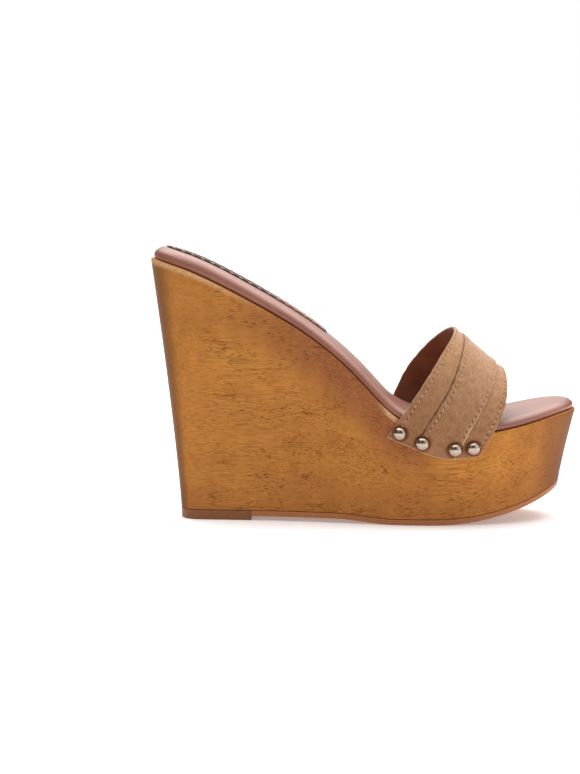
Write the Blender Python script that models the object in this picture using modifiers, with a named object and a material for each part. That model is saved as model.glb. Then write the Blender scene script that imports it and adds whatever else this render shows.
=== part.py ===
"""Wedge clog: the right shoe of a pair, on a carved wooden wedge.

Metres, +Z up, +X towards the toe and -Y the outer side. The origin is the middle of the heel lift's
underside, on the floor. Wedge, sole and footbed are lofts between two plan outlines, and the strap is
one leather wall in three bands that stands on the same outlines.
"""
import math
from collections import namedtuple

import bmesh
import bpy
import numpy as np
from mathutils import Matrix, Vector

NAME = "wedge_clog"
OUTER = -1
INNER = 1

# Clearance between pieces that touch
FIT = 0.0003

# Wooden wedge, at its top edge
TOP_LENGTH = 0.2265
HEEL_WIDTH = 0.060
WAIST_WIDTH = 0.0585
BALL_WIDTH = 0.089
HEEL_HEIGHT = 0.1382
PLATFORM_HEIGHT = 0.0486
TOE_RISE = 0.010
TOE_TURN = 0.006

# Wooden wedge, at the floor
HEEL_OVERHANG = 0.0158
TOE_OVERHANG = 0.009
BASE_HEEL_WIDTH = 0.030
BASE_BALL_WIDTH = 0.0728
BASE_TOE_TURN = 0.0055
WALL_HOLLOW = 1.2

# Sole under the wood
OUTSOLE_THICKNESS = 0.003
WAIST_CLEARANCE = 0.0022
WAIST_END = 0.062
FLAT_START = 0.094
FLAT_LENGTH = 0.020
TOE_SPRING = 0.0175
LIFT_LENGTH = 0.0374
LIFT_ROUND = 0.0008

# Wrapped footbed and the thin sock on its heel
FOOTBED_INSET = 0.0012
FOOTBED_THICKNESS = 0.0050
FOOTBED_EDGE = 0.0034
HEEL_PAD = 0.0021
HEEL_PAD_LENGTH = 0.100
FOOTBED_CROWN = 0.0013
SOCK_INSET = 0.0050
SOCK_THICKNESS = 0.0005
SOCK_LENGTH = 0.088
SOCK_NARROWING = 0.48

# Strap
STRAP_RISE = 0.0520
STRAP_TURN = math.radians(4.5)
INNER_FOOT_SET = 0.0045
INNER_FOOT_START = 0.15
INNER_FOOT_END = 0.62
STRAP_WALL = 0.0016
STRAP_STEP = 0.0010
STRAP_FULLNESS = 2.2

# Domed nails
NAIL_HEAD = 0.0070
NAIL_DOME = 0.0027
NAIL_RIM = 0.0004
NAIL_SHANK = 0.0018
NAIL_LENGTH = 0.0095
NAIL_POINT = 0.0020

# Fineness of the facets
ROWS = 38
OUTSOLE_ROWS = 28
LIFT_ROWS = 12
SOCK_ROWS = 19
CAP_STRIPS = 4
ARCH_ROWS = 40
NAIL_SEGMENTS = 14
HOLE_SEGMENTS = 8
DOME_STEPS = 5

# Share of a row's width that stays free beside a row put in at a mark
MARK_ROOM = 0.3

# Share of the strap's width, and of its arch, over which its normal is measured
NORMAL_STEP = 0.01

# Plan sections: share of the outline's length, the width they follow, and its shares on each side
Section = namedtuple("Section", "along width outer inner")
TOP_SECTIONS = (
    Section(0.033, HEEL_WIDTH, 0.355, 0.355),
    Section(0.126, HEEL_WIDTH, 0.500, 0.500),
    Section(0.240, HEEL_WIDTH, 0.500, 0.483),
    Section(0.351, WAIST_WIDTH, 0.530, 0.470),
    Section(0.483, WAIST_WIDTH, 0.665, 0.520),
    Section(0.607, BALL_WIDTH, 0.517, 0.424),
    Section(0.717, BALL_WIDTH, 0.520, 0.480),
    Section(0.837, BALL_WIDTH, 0.451, 0.458),
    Section(0.903, BALL_WIDTH, 0.365, 0.408),
    Section(0.951, BALL_WIDTH, 0.251, 0.338),
)
BASE_SECTIONS = (
    Section(0.020, BASE_HEEL_WIDTH, 0.390, 0.390),
    Section(0.079, BASE_HEEL_WIDTH, 0.500, 0.500),
    Section(0.193, BASE_HEEL_WIDTH, 0.587, 0.547),
    Section(0.317, BASE_HEEL_WIDTH, 0.737, 0.623),
    Section(0.465, BASE_BALL_WIDTH, 0.415, 0.336),
    Section(0.604, BASE_BALL_WIDTH, 0.495, 0.445),
    Section(0.728, BASE_BALL_WIDTH, 0.490, 0.510),
    Section(0.837, BASE_BALL_WIDTH, 0.427, 0.485),
    Section(0.911, BASE_BALL_WIDTH, 0.339, 0.420),
    Section(0.955, BASE_BALL_WIDTH, 0.238, 0.346),
)

# The wood's top line from the side: share of the top length, of the fall from heel to platform, and
# of the toe's rise
Height = namedtuple("Height", "along fall rise")
TOP_HEIGHTS = (
    Height(0.000, 1.000, 0.00),
    Height(0.096, 0.925, 0.00),
    Height(0.187, 0.817, 0.00),
    Height(0.280, 0.689, 0.00),
    Height(0.371, 0.544, 0.00),
    Height(0.444, 0.395, 0.00),
    Height(0.499, 0.256, 0.00),
    Height(0.553, 0.120, 0.00),
    Height(0.611, 0.042, 0.00),
    Height(0.717, 0.000, 0.00),
    Height(0.791, 0.000, 0.10),
    Height(0.872, 0.000, 0.43),
    Height(0.965, 0.000, 0.88),
    Height(1.000, 0.000, 0.96),
)

# The footbed's padded top: share of the top length, and share of its greatest crown
Crown = namedtuple("Crown", "along share")
CROWNS = (
    Crown(0.00, 0.23),
    Crown(0.07, 0.31),
    Crown(0.19, 0.54),
    Crown(0.30, 0.85),
    Crown(0.42, 0.92),
    Crown(0.50, 1.00),
    Crown(0.58, 0.54),
    Crown(0.70, 0.31),
    Crown(1.00, 0.31),
)

# Edges and seams across the strap, rear to front: shares of the top length at foot and crown, the
# foot's share of the platform's height and the crown's share of the strap's rise above it
Edge = namedtuple("Edge", "across foot_along crown_along foot_height crown_height")
STRAP_EDGES = (
    Edge(0.00, 0.5325, 0.7064, 0.970, 1.000),
    Edge(0.25, 0.5880, 0.7230, 0.867, 0.919),
    Edge(0.75, 0.6830, 0.7980, 0.749, 0.641),
    Edge(1.00, 0.7417, 0.8190, 0.777, 0.585),
)

# How each of them leans forward on its way up: share of the rise, shares of the way foot to crown
Lean = namedtuple("Lean", "rise rear rear_seam front_seam front")
STRAP_LEANS = (
    Lean(0.00, 0.000, 0.000, 0.000, 0.000),
    Lean(0.12, 0.104, 0.145, 0.100, 0.137),
    Lean(0.30, 0.264, 0.353, 0.270, 0.390),
    Lean(0.55, 0.505, 0.640, 0.560, 0.715),
    Lean(0.80, 0.759, 0.850, 0.810, 0.900),
    Lean(1.00, 1.000, 1.000, 1.000, 1.000),
)

# Shares across the strap: how far the middle band laps over the others, and how sharp its step is
STRAP_OVERLAP = 0.11
STEP_SHARPNESS = 0.012

# Share of the rise by which the middle band's lining has left the wood
LINING_FREE = 0.30

# Nails, rear to front: place across the strap and share of the way up from its end
Nail = namedtuple("Nail", "across rise")
NAILS = (
    Nail(0.075, 0.075),
    Nail(0.305, 0.072),
    Nail(0.690, 0.112),
    Nail(0.880, 0.122),
)

# Levels of the wedge's side, as shares of its height
WEDGE_LEVELS = (0.0, 0.08, 0.25, 0.45, 0.65, 0.85, 1.0)

# The footbed's wrapped edge: share of its thickness, and of the edge's depth
EDGE_LEVELS = ((0.0, 0.45), (0.12, 0.14), (0.38, 0.0), (0.68, 0.14), (0.90, 0.50), (1.0, 1.0))

TOP_BACK = -(LIFT_LENGTH / 2 + HEEL_OVERHANG)
BASE_BACK = -LIFT_LENGTH / 2
BASE_LENGTH = TOP_LENGTH - HEEL_OVERHANG - TOE_OVERHANG
BASE_END = BASE_BACK + BASE_LENGTH
FLAT_END = FLAT_START + FLAT_LENGTH
LIFT_THICKNESS = WAIST_CLEARANCE + OUTSOLE_THICKNESS


def spline(knots, values):
    """The natural cubic through the knots, as a function."""
    x = np.array(knots, dtype=float)
    y = np.array(values, dtype=float)
    step = np.diff(x)
    size = len(x)
    system = np.eye(size)
    right = np.zeros(size)
    for i in range(1, size - 1):
        system[i, i - 1:i + 2] = step[i - 1], 2 * (step[i - 1] + step[i]), step[i]
        right[i] = 6 * ((y[i + 1] - y[i]) / step[i] - (y[i] - y[i - 1]) / step[i - 1])
    bend = np.linalg.solve(system, right)

    def at(value):
        i = int(min(max(np.searchsorted(x, value) - 1, 0), size - 2))
        before = (x[i + 1] - value) / step[i]
        after = (value - x[i]) / step[i]
        curl = (before ** 3 - before) * bend[i] + (after ** 3 - after) * bend[i + 1]
        return float(before * y[i] + after * y[i + 1] + curl * step[i] ** 2 / 6)

    return at


def turn_of(along):
    """The angle round an outline at a share of its length: 0 at the heel, pi at the toe."""
    return math.acos(1 - 2 * min(max(along, 0.0), 1.0))


def along_of(turn):
    return (1 - math.cos(turn)) / 2


def outline(back, length, sections, toe_turn):
    """A plan outline: a function of the share along it, the side and an inset."""
    turns = [0.0] + [turn_of(s.along) for s in sections] + [math.pi]
    half = {
        OUTER: spline(turns, [0.0] + [-s.width * s.outer for s in sections] + [toe_turn]),
        INNER: spline(turns, [0.0] + [s.width * s.inner for s in sections] + [toe_turn]),
    }
    tiny = 1e-4

    def at(along, side, inset=0.0):
        turn = turn_of(along)
        y = half[side](turn)
        point = Vector((back + length * along_of(turn), y))
        if inset:
            before = max(turn - tiny, 0.0)
            after = min(turn + tiny, math.pi)
            rate = (half[side](after) - half[side](before)) / (after - before)
            outward = Vector((-side * rate, side * length / 2 * math.sin(turn)))
            point -= outward.normalized() * inset
        return point

    return at


def fall_and_rise():
    knots = [TOP_BACK + TOP_LENGTH * h.along for h in TOP_HEIGHTS]
    drop = HEEL_HEIGHT - PLATFORM_HEIGHT
    values = [PLATFORM_HEIGHT + drop * h.fall + TOE_RISE * h.rise for h in TOP_HEIGHTS]
    return spline(knots, values)


top_outline = outline(TOP_BACK, TOP_LENGTH, TOP_SECTIONS, TOE_TURN)
base_outline = outline(BASE_BACK, BASE_LENGTH, BASE_SECTIONS, BASE_TOE_TURN)
top_height = fall_and_rise()
top_crown = spline(
    [TOP_BACK + TOP_LENGTH * c.along for c in CROWNS],
    [FOOTBED_CROWN * c.share for c in CROWNS],
)


def eased(share):
    """A smooth step from 0 to 1."""
    share = min(max(share, 0.0), 1.0)
    return share * share * (3 - 2 * share)


def sole_height(x):
    """Height of the outsole's underside: raised waist, a flat to stand on, then the toe's spring."""
    if x < FLAT_START:
        return WAIST_CLEARANCE * eased((FLAT_START - x) / (FLAT_START - WAIST_END))
    if x > FLAT_END:
        return TOE_SPRING * ((x - FLAT_END) / (BASE_END - FLAT_END)) ** 2
    return 0.0


def side_point(along, side, height, inset=0.0):
    """A point of the wedge's side, at a height above the floor. The side is hollowed slightly."""
    base = base_outline(along, side, inset)
    top = top_outline(along, side, inset)
    low = sole_height(base.x)
    share = min(max((height - low) / (top_height(top.x) - low), 0.0), 1.0)
    place = base.lerp(top, share ** WALL_HOLLOW)
    return Vector((place.x, place.y, height))


def side_at(x, side, height):
    """How far out the wedge's side is at a place along the shoe and a height."""
    along = (x - TOP_BACK) / TOP_LENGTH
    for _ in range(4):
        found = side_point(along, side, height)
        along += (x - found.x) / TOP_LENGTH
    return abs(side_point(along, side, height).y)


def spread(first, last, count, extra=()):
    """Shares along an outline, evenly spaced round it, with any extra ones among them."""
    start = turn_of(first)
    turns = [start + (turn_of(last) - start) * i / count for i in range(count + 1)]
    room = MARK_ROOM * (turns[1] - turns[0])
    added = [turn_of(share) for share in extra if first < share < last]
    kept = [t for t in turns[1:-1] if all(abs(t - other) > room for other in added)]
    return [along_of(t) for t in sorted([turns[0], turns[-1]] + kept + added)]


def base_share(x):
    return (x - BASE_BACK) / BASE_LENGTH


def collection(name):
    made = bpy.data.collections.new(name)
    bpy.context.scene.collection.children.link(made)
    return made


def material(name, colour, roughness, metallic=0.0):
    made = bpy.data.materials.new(name)
    made.use_nodes = True
    shader = made.node_tree.nodes["Principled BSDF"]
    shader.inputs["Base Color"].default_value = (*colour, 1.0)
    shader.inputs["Roughness"].default_value = roughness
    shader.inputs["Metallic"].default_value = metallic
    return made


def add_object(name, mesh, look, group, smooth_angle=40):
    """A finished bmesh becomes a named object with its material."""
    data = bpy.data.meshes.new(name)
    mesh.to_mesh(data)
    mesh.free()
    data.shade_smooth()
    data.set_sharp_from_angle(angle=math.radians(smooth_angle))
    data.materials.append(look)
    thing = bpy.data.objects.new(name, data)
    group.objects.link(thing)
    return thing


def rim(rows, strips):
    """The grid places round the edge of a cap, in order."""
    return (
        [(0, j) for j in range(strips + 1)]
        + [(i, strips) for i in range(1, rows)]
        + [(rows, j) for j in range(strips, -1, -1)]
        + [(i, 0) for i in range(rows - 1, 0, -1)]
    )


def lofted(shares, levels, place):
    """A closed body between a lower and an upper cap, with one ring of points for each level.

    place(along, across, level) gives a point, with across from 0 on the outer side to 1.
    """
    mesh = bmesh.new()
    rows = len(shares) - 1
    cells = [(i, j) for i in range(rows) for j in range(CAP_STRIPS)]
    edge = rim(rows, CAP_STRIPS)
    whole = [(i, j) for i in range(rows + 1) for j in range(CAP_STRIPS + 1)]
    rings = []
    for number, level in enumerate(levels):
        spots = whole if number in (0, len(levels) - 1) else edge
        rings.append({(i, j): mesh.verts.new(place(shares[i], j / CAP_STRIPS, level)) for i, j in spots})
    for ring in (rings[0], rings[-1]):
        for i, j in cells:
            mesh.faces.new((ring[i, j], ring[i + 1, j], ring[i + 1, j + 1], ring[i, j + 1]))
    for lower, upper in zip(rings, rings[1:]):
        for here, there in zip(edge, edge[1:] + edge[:1]):
            mesh.faces.new((lower[here], lower[there], upper[there], upper[here]))
    bmesh.ops.remove_doubles(mesh, verts=mesh.verts, dist=1e-6)
    bmesh.ops.recalc_face_normals(mesh, faces=mesh.faces)
    return mesh


def make_wedge(group):
    """The carved wooden wedge, from the outsole's upper face to the footbed."""
    under = OUTSOLE_THICKNESS + FIT

    def place(along, across, level):
        ends = []
        for side in (OUTER, INNER):
            low = sole_height(base_outline(along, side).x) + under
            high = top_height(top_outline(along, side).x)
            ends.append(side_point(along, side, low + (high - low) * level))
        point = ends[0].lerp(ends[1], across)
        if level == WEDGE_LEVELS[0]:
            point.z = sole_height(point.x) + under
        if level == WEDGE_LEVELS[-1]:
            point.z = top_height(point.x)
        return point

    flats = [base_share(FLAT_START), base_share(FLAT_END)]
    body = lofted(spread(0.0, 1.0, ROWS, flats), WEDGE_LEVELS, place)
    return add_object("wedge", body, material("lacquered_wood", (0.42, 0.17, 0.045), 0.35), group)


def make_outsole(group):
    """The thin rubber outsole, from the heel lift's front edge to the toe."""

    def place(along, across, level):
        ends = []
        for side in (OUTER, INNER):
            low = sole_height(base_outline(along, side).x)
            ends.append(side_point(along, side, low + OUTSOLE_THICKNESS * level))
        point = ends[0].lerp(ends[1], across)
        point.z = sole_height(point.x) + OUTSOLE_THICKNESS * level
        return point

    start = base_share(LIFT_LENGTH / 2 + FIT)
    marks = [base_share(x) for x in (WAIST_END, FLAT_START, FLAT_END)]
    body = lofted(spread(start, 1.0, OUTSOLE_ROWS, marks), (0.0, 1.0), place)
    return add_object("outsole", body, material("outsole_rubber", (0.16, 0.055, 0.022), 0.6), group)


def make_heel_lift(group):
    """The rubber lift under the heel, as thick as the outsole and its step down together."""
    levels = ((0.0, LIFT_ROUND), (LIFT_ROUND, 0.0), (LIFT_THICKNESS, 0.0))

    def place(along, across, level):
        height, inset = level
        ends = [side_point(along, side, height, inset) for side in (OUTER, INNER)]
        return ends[0].lerp(ends[1], across)

    shares = spread(0.0, base_share(LIFT_LENGTH / 2), LIFT_ROWS)
    body = lofted(shares, levels, place)
    return add_object("heel_lift", body, material("lift_rubber", (0.10, 0.035, 0.016), 0.6), group)


def on_footbed(plan, above):
    """A point square above the wood's top line, over a place in plan."""
    step = 1e-4
    slope = (top_height(plan.x + step) - top_height(plan.x - step)) / (2 * step)
    up = Vector((-slope, 0.0, 1.0)).normalized()
    return Vector((plan.x, plan.y, top_height(plan.x))) + up * above


def footbed_thickness(x):
    """The footbed's thickness at a place along the shoe, fuller under the heel."""
    return FOOTBED_THICKNESS + HEEL_PAD * (1 - eased((x - TOP_BACK) / HEEL_PAD_LENGTH))


def crown_at(plan):
    """How far the padded top stands above the line between its edges, at a place in plan."""
    along = min(max((plan.x - TOP_BACK) / TOP_LENGTH, 0.0), 1.0)
    rim_width = FOOTBED_INSET + FOOTBED_EDGE
    outer, inner = (top_outline(along, side).y for side in (OUTER, INNER))
    width = max(inner - outer - 2 * rim_width, FIT)
    across = min(max((plan.y - outer - rim_width) / width, 0.0), 1.0)
    return top_crown(plan.x) * 4 * across * (1 - across)


def make_footbed(group):
    """The padded footbed in its leather wrap, with a rounded edge and a soft crown."""

    def place(along, across, level):
        share, depth = level
        inset = FOOTBED_INSET + FOOTBED_EDGE * depth
        ends = [top_outline(along, side, inset) for side in (OUTER, INNER)]
        plan = ends[0].lerp(ends[1], across)
        crown = crown_at(plan) if level == EDGE_LEVELS[-1] else 0.0
        return on_footbed(plan, FIT + footbed_thickness(plan.x) * share + crown)

    body = lofted(spread(0.0, 1.0, ROWS), EDGE_LEVELS, place)
    return add_object("footbed", body, material("wrapped_leather", (0.50, 0.29, 0.24), 0.5), group)


def make_heel_sock(group):
    """The thin and narrow sock glued on the heel of the footbed."""

    def place(along, across, level):
        inset = FOOTBED_INSET + SOCK_INSET
        ends = [top_outline(along, side, inset) for side in (OUTER, INNER)]
        plan = ends[0].lerp(ends[1], across)
        plan.y *= SOCK_NARROWING
        top = footbed_thickness(plan.x) + crown_at(plan)
        return on_footbed(plan, top + 2 * FIT + SOCK_THICKNESS * level)

    shares = spread(0.0, SOCK_LENGTH / TOP_LENGTH, SOCK_ROWS)
    body = lofted(shares, (0.0, 1.0), place)
    return add_object("heel_sock", body, material("sock_leather", (0.09, 0.06, 0.05), 0.7), group)


def strap_lines():
    """For each edge and seam of the strap: its lean, foot and crown."""
    rises = [lean.rise for lean in STRAP_LEANS]
    lines = []
    for number, edge in enumerate(STRAP_EDGES):
        lean = spline(rises, [row[number + 1] for row in STRAP_LEANS])
        foot = Vector((TOP_BACK + TOP_LENGTH * edge.foot_along, PLATFORM_HEIGHT * edge.foot_height))
        crown = Vector((
            TOP_BACK + TOP_LENGTH * edge.crown_along,
            PLATFORM_HEIGHT + STRAP_RISE * edge.crown_height,
        ))
        lines.append((lean, foot, crown))
    return lines


STRAP_LINES = strap_lines()
STRAP_KNOTS = [edge.across for edge in STRAP_EDGES]


def strap_inside(across, rise, side):
    """A point of the strap's inner face: share across it, share of the way up, and the side."""
    set_forward = 0.0
    if side == INNER:
        fade = (rise - INNER_FOOT_START) / (INNER_FOOT_END - INNER_FOOT_START)
        set_forward = INNER_FOOT_SET * (1 - eased(fade))
    xs = [foot.x + (crown.x - foot.x) * lean(rise) + set_forward for lean, foot, crown in STRAP_LINES]
    zs = [foot.y + (crown.y - foot.y) * rise for lean, foot, crown in STRAP_LINES]
    x = spline(STRAP_KNOTS, xs)(across)
    z = spline(STRAP_KNOTS, zs)(across)
    crown = spline(STRAP_KNOTS, [line[2].y for line in STRAP_LINES])(across)
    y = 0.0
    for _ in range(3):
        place = x - y * math.tan(STRAP_TURN)
        edge = top_height(place)
        y = side * (side_at(place, side, min(z, edge)) + FIT)
        if z > edge:
            share = min((z - edge) / (crown - edge), 1.0)
            y *= (1 - share ** STRAP_FULLNESS) ** (1 / STRAP_FULLNESS)
    return Vector((x - y * math.tan(STRAP_TURN), y, z))


def strap_arch(across, turn):
    """A point of the inner face by its turn over the arch: -1 outer foot, 0 crown, 1 inner foot."""
    return strap_inside(across, math.cos(turn * math.pi / 2), INNER if turn > 0 else OUTER)


def strap_normal(across, turn):
    left = max(turn - NORMAL_STEP, -1.0)
    right = min(turn + NORMAL_STEP, 1.0)
    back = max(across - NORMAL_STEP, 0.0)
    front = min(across + NORMAL_STEP, 1.0)
    over = strap_arch(across, right) - strap_arch(across, left)
    along = strap_arch(front, turn) - strap_arch(back, turn)
    return along.cross(over).normalized()


def strap_columns():
    """Places across the strap, each with the step of its inner and its outer face.

    The middle band lies on the rear and front bands, and overlaps both.
    """
    edge, seam, far_seam, end = STRAP_KNOTS
    lap = STRAP_OVERLAP
    sharp = STEP_SHARPNESS
    wide = (far_seam - lap) - (seam + lap)
    return (
        (edge, 0, 0),
        ((edge + seam) / 2, 0, 0),
        (seam - sharp, 0, 0),
        (seam, 0, 1),
        (seam + lap, 0, 1),
        (seam + lap + sharp, 1, 1),
        (seam + lap + wide / 2, 1, 1),
        (far_seam - lap - sharp, 1, 1),
        (far_seam - lap, 0, 1),
        (far_seam, 0, 1),
        (far_seam + sharp, 0, 0),
        ((far_seam + end) / 2, 0, 0),
        (end, 0, 0),
    )


def make_upper(group, holes):
    """The strap as one wall: rear, middle and front band, with the middle one raised on the others."""
    mesh = bmesh.new()
    columns = strap_columns()
    inside = []
    outside = []
    for i in range(ARCH_ROWS + 1):
        turn = -1 + 2 * i / ARCH_ROWS
        lift = min(math.cos(turn * math.pi / 2) / LINING_FREE, 1.0)
        inner_row = []
        outer_row = []
        for across, inner_step, outer_step in columns:
            point = strap_arch(across, turn)
            normal = strap_normal(across, turn)
            inner_row.append(mesh.verts.new(point + normal * STRAP_STEP * inner_step * lift))
            outer_row.append(mesh.verts.new(point + normal * (STRAP_WALL + STRAP_STEP * outer_step)))
        inside.append(inner_row)
        outside.append(outer_row)
    last = len(columns) - 1
    for skin in (inside, outside):
        for i in range(ARCH_ROWS):
            for j in range(last):
                mesh.faces.new((skin[i][j], skin[i + 1][j], skin[i + 1][j + 1], skin[i][j + 1]))
    for i in range(ARCH_ROWS):
        for j in (0, last):
            mesh.faces.new((inside[i][j], inside[i + 1][j], outside[i + 1][j], outside[i][j]))
    for j in range(last):
        for i in (0, ARCH_ROWS):
            mesh.faces.new((inside[i][j], inside[i][j + 1], outside[i][j + 1], outside[i][j]))
    bmesh.ops.recalc_face_normals(mesh, faces=mesh.faces)
    upper = add_object("upper", mesh, material("nubuck", (0.42, 0.24, 0.13), 0.8), group)
    cut(upper, holes)
    return upper


def cut(thing, cutter):
    modifier = thing.modifiers.new("holes", "BOOLEAN")
    modifier.operation = "DIFFERENCE"
    modifier.solver = "EXACT"
    modifier.object = cutter


def nail_seats():
    """Where each nail sits on the strap: its name, the point under its head and the way it faces."""
    seats = []
    for side, word in ((OUTER, "outer"), (INNER, "inner")):
        for number, nail in enumerate(NAILS):
            turn = side * math.acos(nail.rise) * 2 / math.pi
            raised = STRAP_KNOTS[1] <= nail.across <= STRAP_KNOTS[2]
            normal = strap_normal(nail.across, turn)
            thick = STRAP_WALL + (STRAP_STEP if raised else 0.0) + FIT
            point = strap_arch(nail.across, turn) + normal * thick
            seats.append((f"nail_{word}_{number + 1}", point, normal))
    return seats


def facing(point, normal):
    return Matrix.Translation(point) @ normal.to_track_quat("Z", "Y").to_matrix().to_4x4()


def make_hole_cutter(group):
    """One cutter for the nail holes through strap and wood."""
    mesh = bmesh.new()
    reach = NAIL_LENGTH + FIT + NAIL_HEAD
    for _, point, normal in nail_seats():
        middle = Matrix.Translation((0.0, 0.0, NAIL_HEAD - reach / 2))
        bmesh.ops.create_cone(
            mesh, cap_ends=True, segments=HOLE_SEGMENTS, depth=reach,
            radius1=NAIL_SHANK / 2 + FIT, radius2=NAIL_SHANK / 2 + FIT,
            matrix=facing(point, normal) @ middle,
        )
    data = bpy.data.meshes.new("nail_holes")
    mesh.to_mesh(data)
    mesh.free()
    cutter = bpy.data.objects.new("nail_holes", data)
    cutter.hide_render = True
    cutter.display_type = "WIRE"
    group.objects.link(cutter)
    return cutter


def nail_profile():
    """Half of a nail's outline, from the top of its dome down to its point."""
    radius = NAIL_HEAD / 2
    dome = []
    for i in range(DOME_STEPS + 1):
        angle = math.pi / 2 * (1 - i / DOME_STEPS)
        dome.append((radius * math.cos(angle), NAIL_RIM + NAIL_DOME * math.sin(angle)))
    shank = [
        (radius - NAIL_RIM, 0.0),
        (NAIL_SHANK / 2, 0.0),
        (NAIL_SHANK / 2, NAIL_POINT - NAIL_LENGTH),
        (0.0, -NAIL_LENGTH),
    ]
    return dome + shank


def make_nails(group):
    """Four domed nails on each side hold the strap to the wood."""
    points = nail_profile()
    data = bpy.data.meshes.new("nail")
    data.from_pydata([(x, 0.0, z) for x, z in points], [(i, i + 1) for i in range(len(points) - 1)], [])
    data.materials.append(material("nail_metal", (0.75, 0.66, 0.55), 0.25, 1.0))
    for name, point, normal in nail_seats():
        nail = bpy.data.objects.new(name, data)
        nail.matrix_world = facing(point, normal)
        turned = nail.modifiers.new("turned", "SCREW")
        turned.steps = NAIL_SEGMENTS
        turned.render_steps = NAIL_SEGMENTS
        turned.use_merge_vertices = True
        turned.merge_threshold = 1e-5
        turned.use_smooth_shade = True
        group.objects.link(nail)


def build():
    for thing in list(bpy.data.objects):
        bpy.data.objects.remove(thing, do_unlink=True)
    shoe = collection(NAME)
    cutters = collection("cutters")
    holes = make_hole_cutter(cutters)
    wedge = make_wedge(shoe)
    cut(wedge, holes)
    make_outsole(shoe)
    make_heel_lift(shoe)
    make_footbed(shoe)
    make_heel_sock(shoe)
    make_upper(shoe, holes)
    make_nails(shoe)


build()
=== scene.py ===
"""The looks of the wedge clog: lacquered wood, wrapped footbed, nubuck strap, domed nails, rubber sole.

Metres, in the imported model's frame: +X towards the toe, -Y the outer side, +Z up, the floor at 0.
"""

import math
from collections import namedtuple

import bmesh
import bpy
import numpy as np
from mathutils import Matrix, Vector


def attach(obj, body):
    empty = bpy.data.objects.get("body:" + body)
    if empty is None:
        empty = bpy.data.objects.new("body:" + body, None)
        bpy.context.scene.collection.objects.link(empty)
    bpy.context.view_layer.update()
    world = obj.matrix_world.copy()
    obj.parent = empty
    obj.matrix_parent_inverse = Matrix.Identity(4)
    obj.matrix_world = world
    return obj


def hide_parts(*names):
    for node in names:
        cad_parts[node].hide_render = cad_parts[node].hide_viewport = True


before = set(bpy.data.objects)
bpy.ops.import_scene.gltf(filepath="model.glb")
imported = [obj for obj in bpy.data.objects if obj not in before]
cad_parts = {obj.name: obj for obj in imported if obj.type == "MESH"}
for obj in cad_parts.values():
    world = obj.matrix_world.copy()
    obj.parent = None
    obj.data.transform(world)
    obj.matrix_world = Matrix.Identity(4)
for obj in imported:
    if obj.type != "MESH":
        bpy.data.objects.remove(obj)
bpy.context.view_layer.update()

MM = 0.001
OUTER = -1
INNER = 1
FIT = 0.3 * MM
WELD = 1e-6

# The wood's top edge, its foot on the floor, and the heights between them
TOP_LENGTH = 226.5 * MM
HEEL_WIDTH = 60.0 * MM
WAIST_WIDTH = 58.5 * MM
BALL_WIDTH = 89.0 * MM
HEEL_HEIGHT = 138.2 * MM
PLATFORM_HEIGHT = 48.6 * MM
TOE_RISE = 10.0 * MM
TOE_TURN = 6.0 * MM
HEEL_OVERHANG = 15.8 * MM
TOE_OVERHANG = 9.0 * MM
BASE_HEEL_WIDTH = 30.0 * MM
BASE_BALL_WIDTH = 72.8 * MM
BASE_TOE_TURN = 5.5 * MM
WALL_HOLLOW = 1.2

# The sole under the wood
OUTSOLE_THICKNESS = 3.0 * MM
WAIST_CLEARANCE = 2.2 * MM
WAIST_END = 62.0 * MM
FLAT_START = 94.0 * MM
FLAT_END = 114.0 * MM
TOE_SPRING = 17.5 * MM
LIFT_LENGTH = 37.4 * MM

# Footbed and sock
FOOTBED_INSET = 1.2 * MM
FOOTBED_THICKNESS = 5.0 * MM
FOOTBED_EDGE = 3.4 * MM
HEEL_PAD = 2.1 * MM
HEEL_PAD_LENGTH = 100.0 * MM
FOOTBED_CROWN = 1.3 * MM
SOCK_INSET = 5.0 * MM
SOCK_THICKNESS = 0.5 * MM
SOCK_LENGTH = 88.0 * MM
SOCK_NARROWING = 0.48

# The strap
STRAP_RISE = 52.0 * MM
STRAP_TURN = math.radians(4.5)
STRAP_WALL = 1.6 * MM
STRAP_STEP = 1.0 * MM
STRAP_FULLNESS = 2.2
STRAP_OVERLAP = 0.11
STRAP_WIDTH = 46.0 * MM
INNER_FOOT_SET = 4.5 * MM
INNER_FOOT_START = 0.15
INNER_FOOT_END = 0.62
LINING_FREE = 0.30

# The domed nails
NAIL_HEAD = 7.0 * MM
NAIL_DOME = 2.7 * MM
NAIL_RIM = 0.4 * MM

# The camera, fitted to the photo: its distance in front of the shoe's axis, height, place, tilt and turn
CAMERA_PLACE = (36.0 * MM, -1150.0 * MM, 173.8 * MM)
CAMERA_DOWN = math.radians(5.2)
CAMERA_TURN = math.radians(-0.16)
CAMERA_LENS = 100.7

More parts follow.
